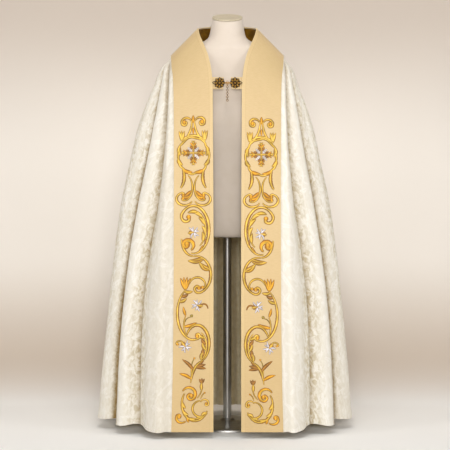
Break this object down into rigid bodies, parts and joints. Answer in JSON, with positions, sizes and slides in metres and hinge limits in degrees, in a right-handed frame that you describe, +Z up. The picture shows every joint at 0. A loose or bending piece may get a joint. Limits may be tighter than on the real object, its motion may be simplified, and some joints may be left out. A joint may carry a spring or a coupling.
{
  "type": "cope vestment on dress form",
  "caption": "Open-fronted half-circle cope with wide front bands, a standing collar, a rosette clasp and a short hanging chain, worn by a limbless dress form on a pole.",
  "frame": {"origin": "middle of the foot's underside", "axes": "+Z up the pole; -Y towards the open front; +X to the right as seen from the front"},
  "size_m": [0.9831, 0.7822, 1.5994],
  "materials": {
    "damask": "ivory damask with a soft sheen",
    "lame": "pale gold lame weave with gold embroidery",
    "gold_facing": "old gold satin",
    "form_cover": "smooth cream jersey over a foam body",
    "form_wood": "matt",
    "form_steel": "brushed",
    "antique_gilt": "antique gilt",
    "pale_gilt": "pale gilt"
  },
  "bodies": {
    "cope_and_form": {"body_left": "damask", "body_back": "damask", "body_right": "damask", "orphrey_left": "lame", "orphrey_right": "lame", "collar": "lame", "clasp_tab_left": "lame", "clasp_tab_right": "lame", "collar_facing": "gold_facing", "form_torso": "form_cover", "form_neck_cap": "form_wood", "form_pole": "form_steel", "form_foot": "form_steel", "clasp_rosette_left": "antique_gilt", "clasp_rosette_right": "antique_gilt", "clasp_hook": "antique_gilt"},
    "link_1": {"chain_link_1": "pale_gilt"},
    "link_2": {"chain_link_2": "pale_gilt"},
    "link_3": {"chain_link_3": "pale_gilt"},
    "link_4": {"chain_link_4": "pale_gilt"},
    "link_5": {"chain_link_5": "pale_gilt"},
    "link_6": {"chain_link_6": "pale_gilt"},
    "link_7": {"chain_link_7": "pale_gilt"},
    "link_8": {"chain_link_8": "pale_gilt"},
    "link_9": {"chain_link_9": "pale_gilt"}
  },
  "joints": [
    {"name": "link_1_swing", "type": "hinge", "parent": "cope_and_form", "child": "link_1", "pos_m": [0, -0.15218, 1.32163], "axis": [0, 1, 0], "range_deg": [-20, 20]},
    {"name": "link_2_swing", "type": "hinge", "parent": "link_1", "child": "link_2", "pos_m": [0, -0.15218, 1.31521], "axis": [-1, 0, 0], "range_deg": [-4, 25]},
    {"name": "link_3_swing", "type": "hinge", "parent": "link_2", "child": "link_3", "pos_m": [0, -0.15218, 1.30881], "axis": [0, 1, 0], "range_deg": [-20, 20]},
    {"name": "link_4_swing", "type": "hinge", "parent": "link_3", "child": "link_4", "pos_m": [0, -0.15218, 1.30241], "axis": [-1, 0, 0], "range_deg": [-4, 25]},
    {"name": "link_5_swing", "type": "hinge", "parent": "link_4", "child": "link_5", "pos_m": [0, -0.15218, 1.29601], "axis": [0, 1, 0], "range_deg": [-20, 20]},
    {"name": "link_6_swing", "type": "hinge", "parent": "link_5", "child": "link_6", "pos_m": [0, -0.15218, 1.28961], "axis": [-1, 0, 0], "range_deg": [-4, 25]},
    {"name": "link_7_swing", "type": "hinge", "parent": "link_6", "child": "link_7", "pos_m": [0, -0.15218, 1.28321], "axis": [0, 1, 0], "range_deg": [-20, 20]},
    {"name": "link_8_swing", "type": "hinge", "parent": "link_7", "child": "link_8", "pos_m": [0, -0.15218, 1.27681], "axis": [-1, 0, 0], "range_deg": [-4, 25]},
    {"name": "link_9_swing", "type": "hinge", "parent": "link_8", "child": "link_9", "pos_m": [0, -0.15218, 1.27041], "axis": [0, 1, 0], "range_deg": [-20, 20]}
  ]
}
